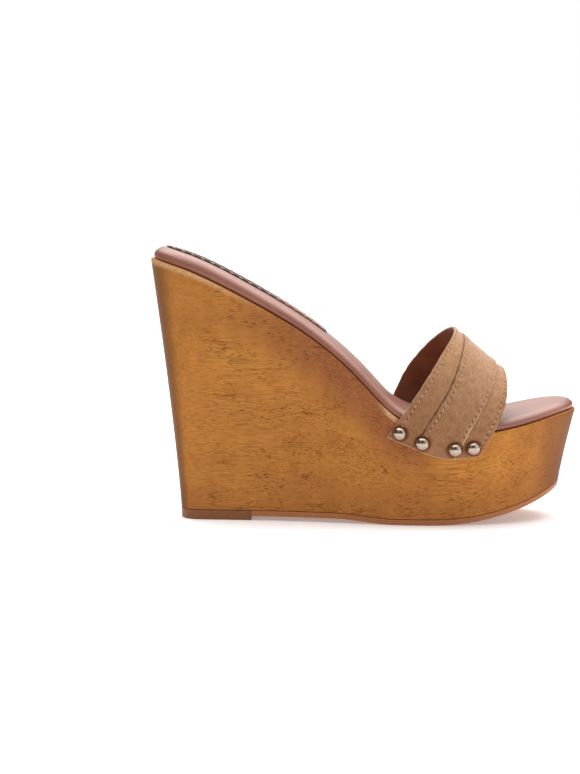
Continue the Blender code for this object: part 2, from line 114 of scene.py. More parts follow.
Section = namedtuple("Section", "along width outer inner")
TOP_SECTIONS = (
    Section(0.033, HEEL_WIDTH, 0.355, 0.355),
    Section(0.126, HEEL_WIDTH, 0.500, 0.500),
    Section(0.240, HEEL_WIDTH, 0.500, 0.483),
    Section(0.351, WAIST_WIDTH, 0.530, 0.470),
    Section(0.483, WAIST_WIDTH, 0.665, 0.520),
    Section(0.607, BALL_WIDTH, 0.517, 0.424),
    Section(0.717, BALL_WIDTH, 0.520, 0.480),
    Section(0.837, BALL_WIDTH, 0.451, 0.458),
    Section(0.903, BALL_WIDTH, 0.365, 0.408),
    Section(0.951, BALL_WIDTH, 0.251, 0.338),
)
BASE_SECTIONS = (
    Section(0.020, BASE_HEEL_WIDTH, 0.390, 0.390),
    Section(0.079, BASE_HEEL_WIDTH, 0.500, 0.500),
    Section(0.193, BASE_HEEL_WIDTH, 0.587, 0.547),
    Section(0.317, BASE_HEEL_WIDTH, 0.737, 0.623),
    Section(0.465, BASE_BALL_WIDTH, 0.415, 0.336),
    Section(0.604, BASE_BALL_WIDTH, 0.495, 0.445),
    Section(0.728, BASE_BALL_WIDTH, 0.490, 0.510),
    Section(0.837, BASE_BALL_WIDTH, 0.427, 0.485),
    Section(0.911, BASE_BALL_WIDTH, 0.339, 0.420),
    Section(0.955, BASE_BALL_WIDTH, 0.238, 0.346),
)

# The wood's top line: share of the length, of the fall from heel to platform, of the toe's rise
Height = namedtuple("Height", "along fall rise")
TOP_HEIGHTS = (
    Height(0.000, 1.000, 0.00),
    Height(0.096, 0.925, 0.00),
    Height(0.187, 0.817, 0.00),
    Height(0.280, 0.689, 0.00),
    Height(0.371, 0.544, 0.00),
    Height(0.444, 0.395, 0.00),
    Height(0.499, 0.256, 0.00),
    Height(0.553, 0.120, 0.00),
    Height(0.611, 0.042, 0.00),
    Height(0.717, 0.000, 0.00),
    Height(0.791, 0.000, 0.10),
    Height(0.872, 0.000, 0.43),
    Height(0.965, 0.000, 0.88),
    Height(1.000, 0.000, 0.96),
)

# The footbed's padded top: share of the length, and share of its greatest crown
Crown = namedtuple("Crown", "along share")
CROWNS = (
    Crown(0.00, 0.23),
    Crown(0.07, 0.31),
    Crown(0.19, 0.54),
    Crown(0.30, 0.85),
    Crown(0.42, 0.92),
    Crown(0.50, 1.00),
    Crown(0.58, 0.54),
    Crown(0.70, 0.31),
    Crown(1.00, 0.31),
)

# Edges and seams across the strap, rear to front, and how each leans forward on its way up
Edge = namedtuple("Edge", "across foot_along crown_along foot_height crown_height")
STRAP_EDGES = (
    Edge(0.00, 0.5325, 0.7064, 0.970, 1.000),
    Edge(0.25, 0.5880, 0.7230, 0.867, 0.919),
    Edge(0.75, 0.6830, 0.7980, 0.749, 0.641),
    Edge(1.00, 0.7417, 0.8190, 0.777, 0.585),
)
Lean = namedtuple("Lean", "rise rear rear_seam front_seam front")
STRAP_LEANS = (
    Lean(0.00, 0.000, 0.000, 0.000, 0.000),
    Lean(0.12, 0.104, 0.145, 0.100, 0.137),
    Lean(0.30, 0.264, 0.353, 0.270, 0.390),
    Lean(0.55, 0.505, 0.640, 0.560, 0.715),
    Lean(0.80, 0.759, 0.850, 0.810, 0.900),
    Lean(1.00, 1.000, 1.000, 1.000, 1.000),
)
STRAP_KNOTS = [edge.across for edge in STRAP_EDGES]

# Nails, rear to front: place across the strap and share of the way up
Nail = namedtuple("Nail", "across rise raised")
NAILS = (
    Nail(0.075, 0.075, False),
    Nail(0.305, 0.072, True),
    Nail(0.690, 0.112, True),
    Nail(0.880, 0.122, False),
)

TOP_BACK = -(LIFT_LENGTH / 2 + HEEL_OVERHANG)
BASE_BACK = -LIFT_LENGTH / 2
BASE_LENGTH = TOP_LENGTH - HEEL_OVERHANG - TOE_OVERHANG
BASE_END = BASE_BACK + BASE_LENGTH
LIFT_THICKNESS = WAIST_CLEARANCE + OUTSOLE_THICKNESS


# Curves that the shoe's forms share

def spline(knots, values):
    """The natural cubic through the knots, as a function of numbers or arrays."""
    x = np.array(knots, dtype=float)
    y = np.array(values, dtype=float)
    step = np.diff(x)
    size = len(x)
    system = np.eye(size)
    right = np.zeros(size)
    for i in range(1, size - 1):
        system[i, i - 1:i + 2] = step[i - 1], 2 * (step[i - 1] + step[i]), step[i]
        right[i] = 6 * ((y[i + 1] - y[i]) / step[i] - (y[i] - y[i - 1]) / step[i - 1])
    bend = np.linalg.solve(system, right)

    def at(value):
        i = np.clip(np.searchsorted(x, value) - 1, 0, size - 2)
        before = (x[i + 1] - value) / step[i]
        after = (value - x[i]) / step[i]
        curl = (before ** 3 - before) * bend[i] + (after ** 3 - after) * bend[i + 1]
        return before * y[i] + after * y[i + 1] + curl * step[i] ** 2 / 6

    return at


def turn_of(along):
    """The angle round an outline at a share of its length: 0 at the heel, pi at the toe."""
    return np.arccos(1 - 2 * np.clip(along, 0.0, 1.0))


def eased(share):
    """A smooth step from 0 to 1."""
    share = np.clip(share, 0.0, 1.0)
    return share * share * (3 - 2 * share)


def bump(distance, width):
    """A soft hump of height 1 and that half width."""
    return np.exp(-(distance / width) ** 2)


def outline(back, length, sections, toe_turn):
    """A plan outline: a function of the share along it, the side and an inset."""
    turns = [0.0] + [float(turn_of(s.along)) for s in sections] + [math.pi]
    half = {
        OUTER: spline(turns, [0.0] + [-s.width * s.outer for s in sections] + [toe_turn]),
        INNER: spline(turns, [0.0] + [s.width * s.inner for s in sections] + [toe_turn]),
    }
    tiny = 1e-4

    def at(along, side, inset=0.0):
        turn = turn_of(along)
        before = np.maximum(turn - tiny, 0.0)
        after = np.minimum(turn + tiny, math.pi)
        rate = (half[side](after) - half[side](before)) / (after - before)
        out = np.stack([-side * rate, side * length / 2 * np.sin(turn)])
        out /= np.hypot(out[0], out[1])
        x = back + length * (1 - np.cos(turn)) / 2
        return x - out[0] * inset, half[side](turn) - out[1] * inset

    return at


top_outline = outline(TOP_BACK, TOP_LENGTH, TOP_SECTIONS, TOE_TURN)
base_outline = outline(BASE_BACK, BASE_LENGTH, BASE_SECTIONS, BASE_TOE_TURN)
top_height = spline(
    [TOP_BACK + TOP_LENGTH * h.along for h in TOP_HEIGHTS],
    [PLATFORM_HEIGHT + (HEEL_HEIGHT - PLATFORM_HEIGHT) * h.fall + TOE_RISE * h.rise for h in TOP_HEIGHTS],
)

top_crown = spline(
    [TOP_BACK + TOP_LENGTH * c.along for c in CROWNS], [FOOTBED_CROWN * c.share for c in CROWNS]
)


def sole_height(x):
    """Height of the outsole's underside: raised waist, a flat to stand on, then the toe's spring."""
    waist = WAIST_CLEARANCE * eased((FLAT_START - x) / (FLAT_START - WAIST_END))
    spring = TOE_SPRING * (np.maximum(x - FLAT_END, 0.0) / (BASE_END - FLAT_END)) ** 2
    return waist + spring


def side_point(along, side, height, inset=0.0):
    """Points of the wedge's side at heights above the floor."""
    base_x, base_y = base_outline(along, side, inset)
    top_x, top_y = top_outline(along, side, inset)
    low = sole_height(base_x)
    share = np.clip((height - low) / (top_height(top_x) - low), 0.0, 1.0) ** WALL_HOLLOW
    x = base_x + (top_x - base_x) * share
    y = base_y + (top_y - base_y) * share
    return np.stack([x, y, height + 0 * x], axis=-1)


def side_at(x, side, height):
    """How far out the wedge's side is at a place along the shoe and a height."""
    along = (x - TOP_BACK) / TOP_LENGTH
    for _ in range(4):
        along = along + (x - side_point(along, side, height)[..., 0]) / TOP_LENGTH
    return np.abs(side_point(along, side, height)[..., 1])


def footbed_thickness(x):
    return FOOTBED_THICKNESS + HEEL_PAD * (1 - eased((x - TOP_BACK) / HEEL_PAD_LENGTH))


def crown_at(x, y):
    """How far the padded top stands above the line between its edges, at places in plan."""
    along = np.clip((x - TOP_BACK) / TOP_LENGTH, 0.0, 1.0)
    rim = FOOTBED_INSET + FOOTBED_EDGE
    outer = top_outline(along, OUTER)[1]
    inner = top_outline(along, INNER)[1]
    across = np.clip((y - outer - rim) / np.maximum(inner - outer - 2 * rim, FIT), 0.0, 1.0)
    return top_crown(x) * 4 * across * (1 - across)


def on_footbed(x, y, above):
    """Points square above the wood's top line, over places in plan."""
    step = 1e-4
    slope = (top_height(x + step) - top_height(x - step)) / (2 * step)
    steep = np.hypot(slope, 1.0)
    return np.stack([x - slope / steep * above, y, top_height(x) + above / steep], axis=-1)


# The strap's surface

ACROSS_SHARES = [spline(STRAP_KNOTS, row) for row in np.eye(len(STRAP_KNOTS))]
RISES = [lean.rise for lean in STRAP_LEANS]
LEANS = [spline(RISES, [row[1 + i] for row in STRAP_LEANS]) for i in range(len(STRAP_EDGES))]


def strap_inside(across, turn):
    """Points of the strap's inner face: share across it, and turn from -1, outer foot, to 1, inner foot."""
    across, turn = np.broadcast_arrays(across, turn)
    rise = np.cos(turn * math.pi / 2)
    inner = turn > 0
    fade = (rise - INNER_FOOT_START) / (INNER_FOOT_END - INNER_FOOT_START)
    set_forward = np.where(inner, INNER_FOOT_SET * (1 - eased(fade)), 0.0)
    x = set_forward
    z = 0.0
    crown = 0.0
    for edge, lean, share in zip(STRAP_EDGES, LEANS, ACROSS_SHARES):
        weight = share(across)
        foot_x = TOP_BACK + TOP_LENGTH * edge.foot_along
        crown_x = TOP_BACK + TOP_LENGTH * edge.crown_along
        foot_z = PLATFORM_HEIGHT * edge.foot_height
        crown_z = PLATFORM_HEIGHT + STRAP_RISE * edge.crown_height
        x = x + weight * (foot_x + (crown_x - foot_x) * lean(rise))
        z = z + weight * (foot_z + (crown_z - foot_z) * rise)
        crown = crown + weight * crown_z
    y = 0.0 * x
    for _ in range(3):
        place = x - y * math.tan(STRAP_TURN)
        edge_z = top_height(place)
        low = np.minimum(z, edge_z)
        reach = np.where(inner, side_at(place, INNER, low), side_at(place, OUTER, low)) + FIT
        share = np.clip((z - edge_z) / (crown - edge_z), 0.0, 1.0)
        arch = (1 - share ** STRAP_FULLNESS) ** (1 / STRAP_FULLNESS)
        y = np.where(inner, 1.0, -1.0) * reach * arch
    return np.stack([x - y * math.tan(STRAP_TURN), y, z], axis=-1)


def strap_point(across, turn, height):
    """Points at heights off the strap's inner face, and the face's normals there."""
    tiny = 0.01
    across, turn, height = np.broadcast_arrays(across, turn, height)
    over = strap_inside(across, np.minimum(turn + tiny, 1.0))
    over -= strap_inside(across, np.maximum(turn - tiny, -1.0))
    along = strap_inside(np.minimum(across + tiny, 1.0), turn)
    along -= strap_inside(np.maximum(across - tiny, 0.0), turn)
    normal = np.cross(along, over)
    normal /= np.linalg.norm(normal, axis=-1, keepdims=True)
    return strap_inside(across, turn) + normal * height[..., None], normal


# Making and finishing pieces

def pick(piece):
    """Selects one piece alone and makes it the active one."""
    bpy.ops.object.select_all(action="DESELECT")
    bpy.context.view_layer.objects.active = piece
    piece.select_set(True)


def placed(name, data):
    """A new object in the scene."""
    thing = bpy.data.objects.new(name, data)
    bpy.context.scene.collection.objects.link(thing)
    return thing


def wrapped_grid(name, points):
    """A grid laid on rows of points."""
    rows, columns = points.shape[:2]
    bpy.ops.object.select_all(action="DESELECT")
    bpy.ops.mesh.primitive_grid_add(x_subdivisions=columns - 1, y_subdivisions=rows - 1, size=1.0)
    piece = bpy.context.object
    piece.name = name
    piece.data.name = name
    piece.data.vertices.foreach_set("co", points.astype(np.float32).ravel())
    piece.data.update()
    return piece


def weld(piece):
    """Doubles merged and the faces turned outwards."""
    pick(piece)
    bpy.ops.object.mode_set(mode="EDIT")
    bpy.ops.mesh.select_all(action="SELECT")
    bpy.ops.mesh.remove_doubles(threshold=WELD)
    bpy.ops.mesh.dissolve_degenerate(threshold=WELD)
    bpy.ops.mesh.normals_make_consistent(inside=False)
    bpy.ops.object.mode_set(mode="OBJECT")


def finish_piece(piece, look, nodes=(), smooth_angle=50):
    """Smooth shading, the material, and the piece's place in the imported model."""
    pick(piece)
    bpy.ops.object.shade_smooth_by_angle(angle=math.radians(smooth_angle))
    piece.data.materials.clear()
    piece.data.materials.append(look)
    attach(piece, "root")
    if nodes:
        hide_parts(*nodes)
    return piece


def spread(first, last, count):
    """Shares along an outline, evenly spaced round it."""
    turns = np.linspace(turn_of(first), turn_of(last), count + 1)
    return (1 - np.cos(turns)) / 2


def ring(levels, strips):
    """Stations round a section: up the outer side, over, down the inner side and back underneath."""
    across = [i / strips for i in range(1, strips)]
    up = [(level, 0.0) for level in levels]
    over = [(levels[-1], share) for share in across]
    down = [(level, 1.0) for level in reversed(levels)]
    back = [(levels[0], share) for share in reversed(across)]
    return up + over + down + back + up[:1]


def lofted(name, shares, levels, strips, place, shape=None):
    """A closed form along the shoe. place(shares, side, level) gives the points of one side.

    shape(points) moves the finished points, if it is given.
    """
    stations = ring(levels, strips)
    points = np.empty((len(stations), len(shares), 3))
    for row, (level, across) in enumerate(stations):
        outer = place(shares, OUTER, level)
        inner = place(shares, INNER, level)
        points[row] = outer + (inner - outer) * across
    if shape:
        points = shape(points)
    piece = wrapped_grid(name, points)
    weld(piece)
    return piece


def rounded(low, high, round_low, round_high, walls, steps=4):
    """Levels of a side: share of the height, metres off its ends, and inset, with both edges rounded."""
    levels = []
    for i in range(steps):
        angle = math.pi / 2 * i / steps
        levels.append((low, round_low * (1 - math.cos(angle)), round_low * (1 - math.sin(angle))))
    for i in range(walls + 1):
        share = i / walls
        levels.append((low + (high - low) * share, round_low * (1 - share) - round_high * share, 0.0))
    for i in range(1, steps + 1):
        angle = math.pi / 2 * i / steps
        levels.append((high, round_high * (math.sin(angle) - 1), round_high * (1 - math.cos(angle))))
    return levels


# Materials

def linear(colour):
    """An sRGB hex colour as linear red, green, blue and alpha."""
    parts = [int(colour[i:i + 2], 16) / 255 for i in (1, 3, 5)]
    return (*[c / 12.92 if c <= 0.04045 else ((c + 0.055) / 1.055) ** 2.4 for c in parts], 1.0)


# Sockets of a colour mix: its factor, its two colours and its result
FACTOR = 0
FIRST = 6
SECOND = 7
MIXED = 2


def node(tree, kind, inputs=None, **settings):
    """Adds a shader node, sets it up and fills or links its inputs."""
    made = tree.nodes.new("ShaderNode" + kind)
    for name, value in settings.items():
        setattr(made, name, value)
    for name, value in (inputs or {}).items():
        if isinstance(value, bpy.types.NodeSocket):
            tree.links.new(value, made.inputs[name])
        else:
            made.inputs[name].default_value = value
    return made


def stretched_noise(tree, place, scale, detail, roughness):
    """Noise whose features are 1 m divided by the scale along X, Y and Z."""
    mapped = node(tree, "Mapping", {"Vector": place, "Scale": scale}).outputs[0]
    inputs = {"Vector": mapped, "Scale": 1.0, "Detail": detail, "Roughness": roughness}
    return node(tree, "TexNoise", inputs).outputs["Fac"]


def ranged(tree, value, low, high, to_low=0.0, to_high=1.0):
    """A value moved from one range to another, and kept inside it."""
    inputs = {"Value": value, "From Min": low, "From Max": high, "To Min": to_low, "To Max": to_high}
    return node(tree, "MapRange", inputs).outputs[0]


def attribute(tree, name):
    return node(tree, "Attribute", attribute_name=name).outputs["Fac"]


def product(tree, first, second):
    return node(tree, "Math", {0: first, 1: second}, operation="MULTIPLY").outputs[0]


def blended(tree, amount, first, second):
    """One colour over another. A colour is an sRGB hex or the output of a node."""
    first, second = (linear(c) if isinstance(c, str) else c for c in (first, second))
    inputs = {FACTOR: amount, FIRST: first, SECOND: second}
    return node(tree, "Mix", inputs, data_type="RGBA").outputs[MIXED]


def scaled(tree, colour, amount):
    """A colour made brighter or darker by an amount, or tinted by another colour."""
    inputs = {FACTOR: 1.0, FIRST: colour, SECOND: amount}
    return node(tree, "Mix", inputs, data_type="RGBA", blend_type="MULTIPLY").outputs[MIXED]


def bumped(tree, shader, height, strength, distance, invert=False):
    """Gives the shader a relief, from heights."""
    inputs = {"Height": height, "Strength": strength, "Distance": distance}
    relief = node(tree, "Bump", inputs, invert=invert)
    tree.links.new(relief.outputs[0], shader.inputs["Normal"])


def coloured(tree, shader, colour):
    tree.links.new(colour, shader.inputs["Base Color"])


def new_material(name):
    """An empty material, its node tree, its shader and the piece's own coordinates."""
    made = bpy.data.materials.new(name)
    made.use_nodes = True
    tree = made.node_tree
    shader = tree.nodes["Principled BSDF"]
    place = node(tree, "TexCoord").outputs["Object"]
    return made, tree, shader, place


def lacquered_alder():
    """Alder carved and lacquered: fine lengthwise grain, short dark pores, a satin clear coat.

    Under the lacquer the eye sees golden brown, made pinker at the waist and the toe by a painted
    reflection, darker and redder low down by painted shade and stain, and darker where the grain ends by
    end grain and painted shade; it is crossed by dark dashes and a few long hairlines, with a painted
    highlight along the heel's top edge and a paler mark on the outer top edge.
    """
    made, tree, shader, place = new_material("lacquered_alder")
    # Slow bands: 60 mm by 12 mm. Upright clouds: 8 mm by 22 mm. Grain lines: 30 mm by 0.9 mm
    bands = stretched_noise(tree, place, (16, 70, 80), detail=3.0, roughness=0.5)
    clouds = stretched_noise(tree, place, (130, 45, 45), detail=2.0, roughness=0.5)
    lines = stretched_noise(tree, place, (34, 900, 1150), detail=4.0, roughness=0.65)
    # Dashes: 4 mm by 0.5 mm, in crowds about 15 mm across. Hairlines: the narrow edge of 80 mm clouds
    dashes = stretched_noise(tree, place, (270, 1700, 2100), detail=1.5, roughness=0.5)
    crowds = stretched_noise(tree, place, (45, 110, 110), detail=2.0, roughness=0.5)
    flames = stretched_noise(tree, place, (12, 190, 210), detail=1.0, roughness=0.4)
    wide = ranged(tree, bands, 0.32, 0.68)
    cloud = ranged(tree, clouds, 0.3, 0.7, 0.93, 1.07)
    fine = ranged(tree, lines, 0.36, 0.56)
    dash = ranged(tree, dashes, 0.56, 0.66)
    crowd = product(tree, ranged(tree, crowds, 0.38, 0.62, 0.1, 0.85), attribute(tree, "grain"))
    dark = product(tree, dash, crowd)
    off_middle = node(tree, "Math", {0: flames, 1: 0.5}, operation="SUBTRACT").outputs[0]
    from_middle = node(tree, "Math", {0: off_middle}, operation="ABSOLUTE").outputs[0]
    thin = ranged(tree, from_middle, 0.0, 0.012, 1.0, 0.0)
    hair = product(tree, thin, crowd)
    flecks = node(tree, "Math", {0: dark, 1: hair}, operation="MAXIMUM").outputs[0]
    golden = blended(tree, wide, "#bb7739", "#c6863c")
    # A redder tone: painted reflection at the waist and the toe, and low down partly painted shade and
    # partly stain
    sheen_shade_and_stain_tinted = blended(tree, attribute(tree, "sheen_shade_and_stain"), golden, "#96583a")
    grained = blended(tree, fine, "#ab6d34", sheen_shade_and_stain_tinted)
    mottled = scaled(tree, grained, cloud)
    flecked = blended(tree, flecks, mottled, "#6d3d1a")
    # Paler patches: a painted highlight along the heel's top edge, and a paler mark behind the strap
    patchiness = stretched_noise(tree, place, (500, 900, 900), detail=2.0, roughness=0.6)
    pale_patches = product(tree, attribute(tree, "pale_tone"), ranged(tree, patchiness, 0.4, 0.55, 0.55, 1.0))
    # Darker where the grain ends: partly end grain taking more stain, partly painted shade
    stained_and_shaded = scaled(tree, flecked, blended(tree, attribute(tree, "end_grain_and_shade"), "#ffffff", "#b4aca8"))
    pale_tone = blended(tree, pale_patches, stained_and_shaded, "#dcae80")
    coloured(tree, shader, pale_tone)
    bumped(tree, shader, flecks, 0.15, 0.1 * MM, invert=True)
    shader.inputs["Roughness"].default_value = 0.6
    shader.inputs["Specular IOR Level"].default_value = 0.05
    shader.inputs["Coat Weight"].default_value = 0.12
    shader.inputs["Coat Roughness"].default_value = 0.3
    shader.inputs["Coat IOR"].default_value = 1.35
    return made


def moulded_rubber(name, colour, pale_tone):
    """Rubber moulded and sanded at its edge: matt and even, with a faint speckle."""
    made, tree, shader, place = new_material(name)
    speckle = stretched_noise(tree, place, (900, 900, 900), detail=3.0, roughness=0.5)
    coloured(tree, shader, blended(tree, ranged(tree, speckle, 0.35, 0.65), colour, pale_tone))
    bumped(tree, shader, speckle, 0.2, 0.1 * MM)
    shader.inputs["Roughness"].default_value = 0.55
    shader.inputs["Specular IOR Level"].default_value = 0.4
    return made


def wrapped_nappa():
    """Smooth pinkish calf leather stretched round foam: fine grain, a soft white gloss on its roll."""
    made, tree, shader, place = new_material("wrapped_nappa")
    # Grain cells about 0.7 mm across, slow tint changes over 30 mm
    grain = node(tree, "TexVoronoi", {"Vector": place, "Scale": 1400.0}, feature="DISTANCE_TO_EDGE")
    tone = stretched_noise(tree, place, (35, 35, 35), detail=3.0, roughness=0.5)
    tint = blended(tree, ranged(tree, tone, 0.35, 0.65), "#8b4f3c", "#9a5f49")
    coloured(tree, shader, tint)
    bumped(tree, shader, grain.outputs["Distance"], 0.12, 0.1 * MM)
    shader.inputs["Roughness"].default_value = 0.5
    shader.inputs["Coat Weight"].default_value = 0.65
    shader.inputs["Coat Roughness"].default_value = 0.4
    shader.inputs["Coat IOR"].default_value = 1.5
    return made


def suede(name, dark, light, raw, shade_tint, bloom):
    """Leather sanded to a short nap: matt, blotchy and streaked, with a pale bloom where it grazes.

    Cut edges are paler, and the sock's front end paler by a painted highlight; painted shade darkens the
    seam's crevice, a ring round each nail and the front band beside its seam; the lower part is darker and
    redder, partly painted shade and partly the nap's own tone.
    """
    made, tree, shader, place = new_material(name)
    # Blotches over about 4 mm, pile of 1 mm, nap of about 0.4 mm drawn a little coarse so that it shows
    blotch = stretched_noise(tree, place, (260, 260, 260), detail=4.0, roughness=0.6)
    pile = stretched_noise(tree, place, (900, 900, 900), detail=2.0, roughness=0.6)
    nap = stretched_noise(tree, place, (2300, 2300, 2300), detail=2.0, roughness=0.7)
    # Streaks along the strap, 5 mm by 1 mm, laid out by the strip that the piece was made from
    strip = node(tree, "TexCoord").outputs["UV"]
    streak = stretched_noise(tree, strip, (42, 42, 1), detail=3.0, roughness=0.6)
    tint = blended(tree, ranged(tree, blotch, 0.32, 0.68), dark, light)
    streaked = scaled(tree, tint, ranged(tree, streak, 0.3, 0.7, 0.82, 1.13))
    piled = scaled(tree, streaked, ranged(tree, pile, 0.3, 0.7, 0.88, 1.1))
    napped = scaled(tree, piled, ranged(tree, nap, 0.3, 0.7, 0.85, 1.12))
    # Darker and redder towards the foot of the strap: partly painted shade, partly the nap's own tone
    lower_shade_and_nap = blended(tree, attribute(tree, "lower_shade_and_nap"), "#ffffff", "#e0d3cc")
    toned = scaled(tree, napped, lower_shade_and_nap)
    # Paler at cut edges, and at the sock's front end a painted highlight
    edged = blended(tree, attribute(tree, "cut_edge_and_highlight"), toned, raw)
    # Painted shade in the seam's crevice, round the nails and beside the front seam
    shaded = blended(tree, attribute(tree, "painted_shade"), edged, shade_tint)
    coloured(tree, shader, shaded)
    bumped(tree, shader, pile, 0.35, 0.2 * MM)
    shader.inputs["Roughness"].default_value = 0.9
    shader.inputs["Specular IOR Level"].default_value = 0.2
    shader.inputs["Sheen Weight"].default_value = bloom
    shader.inputs["Sheen Roughness"].default_value = 0.4
    return made


def smooth_calf():
    """Dark brown lining calf, drum dyed and plain: smooth, with a faint grain and a low gloss."""
    made, tree, shader, place = new_material("lining_calf")
    grain = node(tree, "TexVoronoi", {"Vector": place, "Scale": 1100.0}, feature="DISTANCE_TO_EDGE")
    tone = stretched_noise(tree, place, (60, 60, 60), detail=3.0, roughness=0.5)
    tint = blended(tree, ranged(tree, tone, 0.35, 0.65), "#7c4632", "#946145")
    coloured(tree, shader, tint)
    bumped(tree, shader, grain.outputs["Distance"], 0.15, 0.1 * MM)
    shader.inputs["Roughness"].default_value = 0.55
    return made


def waxed_thread(name, colour):
    """Waxed polyester sewing thread: a twisted yarn with a low sheen."""
    made, tree, shader, place = new_material(name)
    ply = node(tree, "TexWave", {"Vector": place, "Scale": 900.0, "Distortion": 2.0}).outputs["Fac"]
    tint = scaled(tree, linear(colour), ranged(tree, ply, 0.0, 1.0, 0.85, 1.1))
    coloured(tree, shader, tint)
    shader.inputs["Roughness"].default_value = 0.6
    shader.inputs["Sheen Weight"].default_value = 0.2
    return made


def needle_hole_shade():
    """Dark matt discs at the needle holes: painted shade, standing for the shade inside each hole."""
    made, tree, shader, place = new_material("needle_hole_shade")
    depth = stretched_noise(tree, place, (1500, 1500, 1500), detail=2.0, roughness=0.5)
    coloured(tree, shader, blended(tree, depth, "#4a2a1a", "#64402a"))
    shader.inputs["Roughness"].default_value = 0.95
    return made


def plated_steel():
    """Steel stamped to a dome and plated pale gold: bright, its reflections softened by wear."""
    made, tree, shader, place = new_material("pale_gold_plating")
    wear = stretched_noise(tree, place, (700, 700, 700), detail=3.0, roughness=0.5)
    coloured(tree, shader, blended(tree, ranged(tree, wear, 0.35, 0.7), "#a89587", "#bdaa9c"))
    shader.inputs["Metallic"].default_value = 1.0
    shader.inputs["Roughness"].default_value = 0.24
    return made


WOOD = lacquered_alder()
SOLE_RUBBER = moulded_rubber("outsole_rubber_moulded", "#aa6a3e", "#b47142")
LIFT_RUBBER = moulded_rubber("lift_rubber_moulded", "#84522b", "#905a30")
NAPPA = wrapped_nappa()
SOCK_LEATHER = suede("sock_suede", "#4f4039", "#5f4f47", "#a27a6c", "#33241e", bloom=0.05)
NUBUCK = suede("strap_nubuck", "#a87b58", "#ba8f69", "#e2c4a2", "#74431f", bloom=0.3)
LINING = smooth_calf()
THREAD = waxed_thread("tan_thread", "#c69d74")
SOCK_THREAD = waxed_thread("sand_thread", "#cdb39a")
NEEDLE_HOLE_SHADE = needle_hole_shade()
PLATING = plated_steel()


# The pieces

# A paler mark on the wood's outer top edge: its place along the shoe, its length and its height
PALE_MARK_PLACE = 91.0 * MM
PALE_MARK_LENGTH = 9.0 * MM
PALE_MARK_HEIGHT = 3.2 * MM


def make_wood():
    """The wedge, with its edges eased as by sandpaper."""
    under = OUTSOLE_THICKNESS + FIT

    def place(shares, side, level):
        share, off, inset = level
        low = sole_height(base_outline(shares, side)[0]) + under
        high = top_height(top_outline(shares, side)[0])
        return side_point(shares, side, low + (high - low) * share + off, inset)

    levels = rounded(0.0, 1.0, 0.12 * MM, 1.1 * MM, walls=48)
    piece = lofted("wood_wedge", spread(0.0, 1.0, 240), levels, 8, place)
    x, y, z = points_of(piece).T
    below = top_height(x) - z
    # Painted reflection: a redder tone under the footbed and at the toe. Low down, darker and redder:
    # partly painted shade, partly stain. A painted highlight along the heel's top edge, a paler mark behind
    # the strap
    sheen_shade_and_stain = eased((x + 25.0 * MM) / (90.0 * MM)) * eased((34.0 * MM - below) / (26.0 * MM))
    sheen_shade_and_stain = sheen_shade_and_stain * eased((118.0 * MM - x) / (16.0 * MM)) + 0.42 * eased((x - 145.0 * MM) / (35.0 * MM))
    sheen_shade_and_stain = sheen_shade_and_stain + 0.28 * eased((34.0 * MM - z) / (30.0 * MM))
    # Fewer pores where the surface turns to the ends of the grain
    grain = 0.08 + 0.92 * eased((x + 26.0 * MM) / (30.0 * MM)) * eased((190.0 * MM - x) / (20.0 * MM))
    # A painted highlight just under the top edge at the heel, and a paler mark on the outer top edge
    edge_highlight = bump(below - 1.0 * MM, 0.8 * MM) * eased((34.0 * MM - x) / (50.0 * MM))
    pale_mark = bump(x - PALE_MARK_PLACE, PALE_MARK_LENGTH / 2) * eased((PALE_MARK_HEIGHT - below) / (1.5 * MM))
    add_attribute(piece, "sheen_shade_and_stain", np.clip(sheen_shade_and_stain, 0.0, 1.0))
    add_attribute(piece, "grain", grain)
    # Darker where the surface faces along the shoe: end grain taking more stain, and painted shade on the
    # heel's back and the toe's front
    facing = np.empty(len(piece.data.vertices) * 3, dtype=np.float32)
    piece.data.vertices.foreach_get("normal", facing)
    end_on = np.abs(facing.reshape(-1, 3)[:, 0])
    add_attribute(piece, "end_grain_and_shade", eased((end_on - 0.5) / 0.45))
    add_attribute(piece, "pale_tone", np.clip(edge_highlight + np.where(y < 0, pale_mark, 0.0), 0.0, 1.0))
    return finish_piece(piece, WOOD, ["wedge"])


def points_of(piece):
    """All points of a piece, one to a row."""
    found = np.empty(len(piece.data.vertices) * 3, dtype=np.float32)
    piece.data.vertices.foreach_get("co", found)
    return found.reshape(-1, 3).astype(float)


def make_outsole():
    def place(shares, side, level):
        share, off, inset = level
        low = sole_height(base_outline(shares, side)[0])
        return side_point(shares, side, low + OUTSOLE_THICKNESS * share + off, inset)

    start = (LIFT_LENGTH / 2 + FIT - BASE_BACK) / BASE_LENGTH
    levels = rounded(0.0, 1.0, 0.5 * MM, 0.08 * MM, walls=2, steps=3)
    piece = lofted("rubber_outsole", spread(start, 1.0, 120), levels, 8, place)
    close_start(piece)
    return finish_piece(piece, SOLE_RUBBER, ["outsole"])


def add_attribute(piece, name, values):
    """A number at each point of a piece, for its material."""
    attribute = piece.data.attributes.new(name, "FLOAT", "POINT")
    attribute.data.foreach_set("value", values.astype(np.float32).ravel())


def close_start(piece):
    """Fills the open end that a form cut short at one end has."""
    pick(piece)
    bpy.ops.object.mode_set(mode="EDIT")
    bpy.ops.mesh.select_mode(type="EDGE")
    bpy.ops.mesh.select_all(action="DESELECT")
    bpy.ops.mesh.select_non_manifold()
    bpy.ops.mesh.edge_face_add()
    bpy.ops.mesh.select_all(action="SELECT")
    bpy.ops.mesh.normals_make_consistent(inside=False)
    bpy.ops.object.mode_set(mode="OBJECT")


